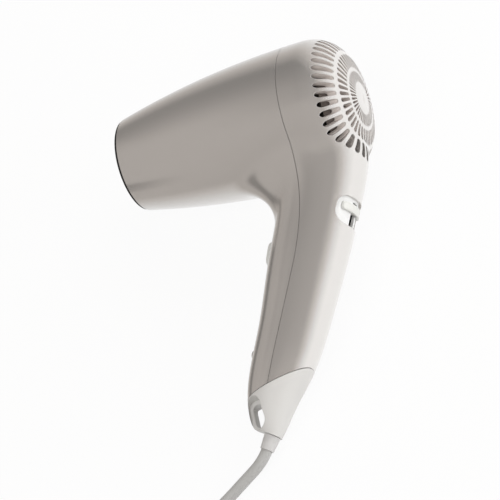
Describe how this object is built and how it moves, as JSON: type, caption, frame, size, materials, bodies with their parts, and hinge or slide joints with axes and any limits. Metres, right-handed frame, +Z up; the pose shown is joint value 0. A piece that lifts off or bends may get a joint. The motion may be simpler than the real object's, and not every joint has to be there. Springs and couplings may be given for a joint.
{
  "type": "hair dryer",
  "caption": "Compact hand-held hair dryer with a tapered barrel, slotted rear air intake, slim raked handle with slide switch and push button, hanging eye, cord and plug.",
  "frame": {"origin": "centre of the floor under the dryer, which lies on its side, measured without its cord", "axes": "+Z up from the floor, -X the way the air leaves the barrel, -Y towards the end of the handle"},
  "size_m": [0.1761, 0.4007, 0.0794],
  "materials": {
    "shell_silver": "silver pearl, satin gloss",
    "cap_silver": "light silver grey, satin",
    "black_plastic": "black, matt",
    "grey_rubber": "grey, matt",
    "cord_pvc": "grey, satin",
    "pin_brass": "nickel plated",
    "mica": "mica sheet, matt",
    "heating_wire": "dull grey alloy",
    "steel": "zinc plated",
    "rotor_iron": "wound iron",
    "ferrite": "ferrite",
    "white_plastic": "natural",
    "bush_bronze": "sintered bronze",
    "fan_plastic": "grey",
    "guide_plastic": "grey",
    "board": "brown laminate",
    "lead_pvc": "white"
  },
  "bodies": {
    "housing": {"front_housing": "shell_silver", "rear_housing": "shell_silver", "hanging_cap": "cap_silver", "screw_cap": "shell_silver", "outlet_grille": "black_plastic", "strain_relief": "grey_rubber", "power_cord": "cord_pvc", "cord_coil": "cord_pvc", "cord_tail": "cord_pvc", "plug_body": "cord_pvc", "cord_tie": "black_plastic", "plug_pins": "pin_brass", "mica_tube": "mica", "mica_board_a": "mica", "mica_board_b": "mica", "heater_coil": "heating_wire", "thermostat": "steel", "thermal_fuse": "steel", "motor_can": "steel", "housing_screw": "steel", "switch_screws": "steel", "cord_grip": "steel", "motor_magnets": "ferrite", "motor_end_bell": "white_plastic", "shaft_bushes": "bush_bronze", "air_guide": "guide_plastic", "diode_board": "board", "rectifier_diodes": "black_plastic", "switch_body": "black_plastic", "button_switch": "black_plastic", "supply_leads": "lead_pvc", "heater_leads": "lead_pvc"},
    "fan_rotor": {"fan": "fan_plastic", "motor_shaft": "steel", "rotor": "rotor_iron"},
    "slide_knob": {"switch_knob": "cap_silver"},
    "push_button": {"hold_button": "cap_silver"}
  },
  "joints": [
    {"name": "fan_spin", "type": "hinge", "parent": "housing", "child": "fan_rotor", "pos_m": [0.02914, 0.0728, 0.03928], "axis": [0.9976, 0, 0.0698], "continuous": true},
    {"name": "switch_slide", "type": "slide", "parent": "housing", "child": "slide_knob", "axis": [-0.3141, -0.9341, -0.1698], "range_m": [0, 0.007]},
    {"name": "button_press", "type": "slide", "parent": "housing", "child": "push_button", "axis": [0.9656, -0.2587, 0.0266], "range_m": [0, 0.002], "stiffness_N_per_m": 600}
  ]
}
